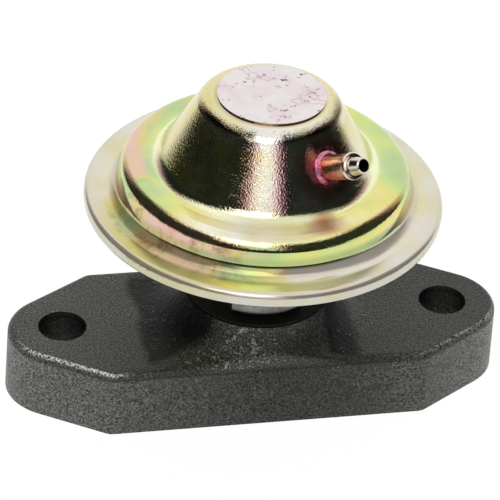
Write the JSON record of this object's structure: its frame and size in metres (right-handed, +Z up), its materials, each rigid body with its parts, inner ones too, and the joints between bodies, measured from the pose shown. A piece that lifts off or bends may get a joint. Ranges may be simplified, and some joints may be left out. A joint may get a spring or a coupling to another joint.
{
  "type": "exhaust gas recirculation valve",
  "caption": "Vacuum-operated exhaust gas recirculation valve: bolted cast-iron base, domed diaphragm housing with a side nipple, and a spring-return pintle on a seat.",
  "frame": {"origin": "centre of the base's flat mounting face, on the valve stem's axis", "axes": "+Z up along the stem, +X along the line of the two mounting bolts towards the outlet port"},
  "size_m": [0.108, 0.0756, 0.071],
  "materials": {
    "cast_iron": "matte",
    "yellow_zinc": "gloss",
    "bracket_steel": "satin",
    "bright_steel": "satin",
    "seat_steel": "satin",
    "spring_steel": "satin",
    "bronze": "satin",
    "copper_bronze": "polished",
    "braze": "satin",
    "graphite": "matte",
    "gasket": "matte",
    "diaphragm_rubber": "matte"
  },
  "bodies": {
    "housing": {"base_casting": "cast_iron", "seat_insert": "seat_steel", "stem_bush": "bronze", "stem_seal": "graphite", "seal_retainer": "bright_steel", "insulator_gasket": "gasket", "bracket": "bracket_steel", "bracket_rivets": "bright_steel", "lower_shell": "yellow_zinc", "shell_rivets": "bright_steel", "diaphragm": "diaphragm_rubber", "return_spring": "spring_steel", "cover": "yellow_zinc", "vacuum_nipple": "copper_bronze", "nipple_collar": "braze"},
    "valve": {"pintle": "seat_steel", "stem": "bright_steel", "stem_washer": "bright_steel", "diaphragm_plate_lower": "bright_steel", "diaphragm_plate_upper": "bright_steel"}
  },
  "joints": [
    {"name": "valve_lift", "type": "slide", "parent": "housing", "child": "valve", "axis": [0, 0, 1], "range_m": [0, 0.005], "stiffness_N_per_m": 3000, "springref_m": -0.009, "deforming": ["return_spring", "diaphragm"]}
  ]
}
